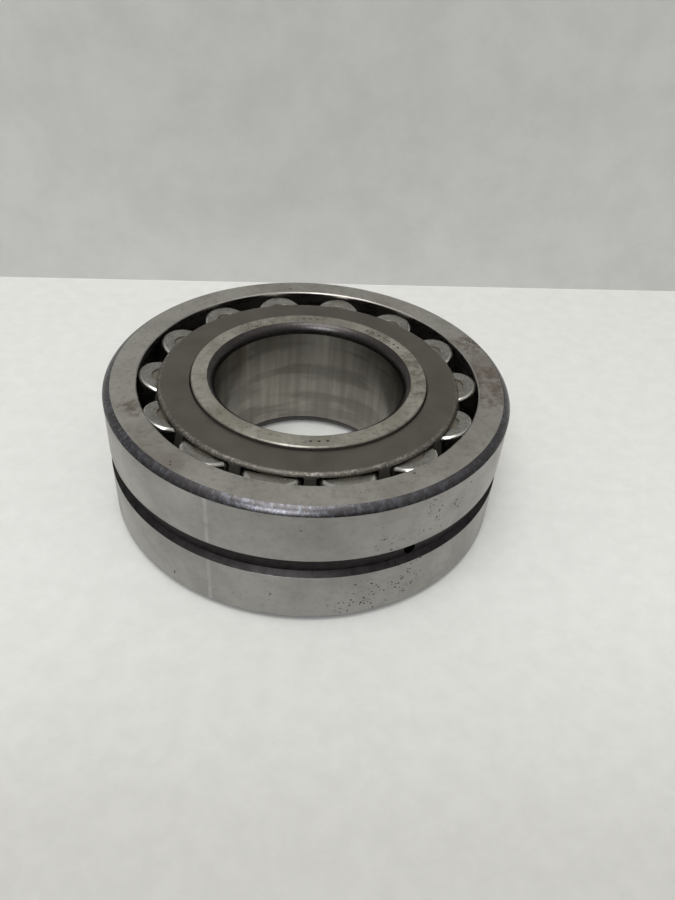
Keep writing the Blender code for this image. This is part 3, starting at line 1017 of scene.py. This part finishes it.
def make_bearing():
    """Every piece, in its place at rest."""
    finishes = make_finishes()
    outer = make_outer_ring(only(finishes, "side_face", "corner", "outside", "groove", "raceway",
                                 "hole"))
    settle(outer, "outer_ring")
    inner = make_inner_ring(only(finishes, "inner_face", "bore_corner", "bore", "raceway",
                                 "rim"))
    settle(inner, "inner_ring")
    settle(make_guide_ring(only(finishes, "guide")), "guide_ring")
    sheet = [finishes["cage"], finishes["cage_edge"]]
    lower_angle = FIRST_ROLLER_ANGLE + 0.5 * ROLLER_PITCH
    settle(make_cage("cage_sheet_upper", True, FIRST_ROLLER_ANGLE, sheet), "cage_upper")
    settle(make_cage("cage_sheet_lower", False, lower_angle, sheet), "cage_lower")
    make_rollers(finishes)


# ---------------------------------------------------------------------------------------------
# Floor, backdrop, light and camera


def make_sheet(name, size, material, place):
    """A square sheet of the stage, facing the Z of its place."""
    form = bmesh.new()
    bmesh.ops.create_grid(form, x_segments=1, y_segments=1, size=0.5 * size)
    thing = object_from(form, name, [material])
    thing.matrix_world = place
    return thing


def make_stage():
    """A pale floor under the bearing and a pale wall close behind it."""
    board = floor_finish("pale_board")
    floor_place = Matrix.Translation((0.0, FLOOR_MIDDLE_Y, FLOOR_HEIGHT))
    make_sheet("floor", FLOOR_SIZE, board, floor_place)
    wall_turn = Matrix.Rotation(BACKDROP_TURN, 4, "Z") @ Matrix.Rotation(0.5 * pi, 4, "X")
    wall_middle = FLOOR_HEIGHT + 0.5 * BACKDROP_SIZE
    wall_place = Matrix.Translation((0.0, BACKDROP_Y, wall_middle))
    paint = Finish("pale_wall")
    mottle = paint.between(paint.noise(paint.place, 30.0, 6.0, 0.65), 0.3, 0.7)
    colour = paint.mix(mottle, (0.68, 0.675, 0.66), (0.62, 0.615, 0.60))
    paint.clear_from_behind()
    wall_paint = paint.finish(colour, 0.8, 0.0)
    make_sheet("backdrop", BACKDROP_SIZE, wall_paint, wall_place @ wall_turn)


def make_onlooker():
    """A dark upright sheet for whoever holds the camera: only the steel and the floor see it."""
    cloth = Finish("dark_cloth")
    weave = cloth.noise(cloth.place, 300.0, 3.0, 0.6)
    colour = cloth.mix(weave, (0.05, 0.05, 0.055), (0.09, 0.09, 0.09))
    place = Matrix.Translation(ONLOOKER_PLACE) @ Matrix.Rotation(0.5 * pi, 4, "X")
    onlooker = make_sheet("onlooker", ONLOOKER_SIZE, cloth.finish(colour, 0.9, 0.0), place)
    onlooker.visible_camera = False


def make_lamp(name, place, size, power, colour):
    """A rectangular area lamp that shines at the bearing's centre."""
    light = bpy.data.lights.new(name, "AREA")
    light.shape = "RECTANGLE"
    light.size = size[0]
    light.size_y = size[1]
    light.energy = power
    light.color = colour
    lamp = bpy.data.objects.new(name, light)
    lamp.location = place
    lamp.rotation_euler = (-Vector(place)).to_track_quat("-Z", "Y").to_euler()
    bpy.context.scene.collection.objects.link(lamp)


def make_world():
    """Soft room light: bright overhead and a little behind, and darker everywhere else."""
    world = bpy.data.worlds.new("room")
    world.use_nodes = True
    tree = world.node_tree
    background = tree.nodes["Background"]
    direction = tree.nodes.new("ShaderNodeTexCoord").outputs["Generated"]
    side = tree.nodes.new("ShaderNodeVectorMath")
    side.operation = "DOT_PRODUCT"
    side.inputs[1].default_value = Vector(OVERHEAD).normalized()
    tree.links.new(direction, side.inputs[0])
    shade = tree.nodes.new("ShaderNodeMapRange")
    shade.interpolation_type = "SMOOTHSTEP"
    tree.links.new(side.outputs["Value"], shade.inputs["Value"])
    for name, number in OVERHEAD_RANGE.items():
        shade.inputs[name].default_value = number
    tree.links.new(shade.outputs["Result"], background.inputs["Strength"])
    background.inputs["Color"].default_value = OVERHEAD_COLOUR
    bpy.context.scene.world = world


def make_camera():
    """A camera in front of the bearing and above it, turned off its centre by yaw and pitch."""
    camera = bpy.data.cameras.new("camera")
    camera.sensor_width = SENSOR_WIDTH
    camera.sensor_fit = "AUTO"
    camera.lens = CAMERA_LENS
    camera.clip_start = NEAREST_SEEN
    eye = bpy.data.objects.new("camera", camera)
    level = CAMERA_DISTANCE * cos(CAMERA_ELEVATION)
    place = Matrix.Translation((0.0, -level, CAMERA_DISTANCE * sin(CAMERA_ELEVATION)))
    aim = Matrix.Rotation(0.5 * pi - CAMERA_ELEVATION, 4, "X")
    aim = aim @ Matrix.Rotation(CAMERA_YAW, 4, "Y") @ Matrix.Rotation(CAMERA_PITCH, 4, "X")
    eye.matrix_world = place @ aim @ Matrix.Rotation(CAMERA_LEAN, 4, "Z")
    bpy.context.scene.collection.objects.link(eye)
    bpy.context.scene.camera = eye


make_camera()
make_bearing()
make_stage()
make_onlooker()
make_world()
for lamp_name, (lamp_place, lamp_size, watts, lamp_colour) in LAMPS.items():
    make_lamp(lamp_name, lamp_place, lamp_size, watts, lamp_colour)
bpy.context.scene.view_settings.view_transform = "Standard"
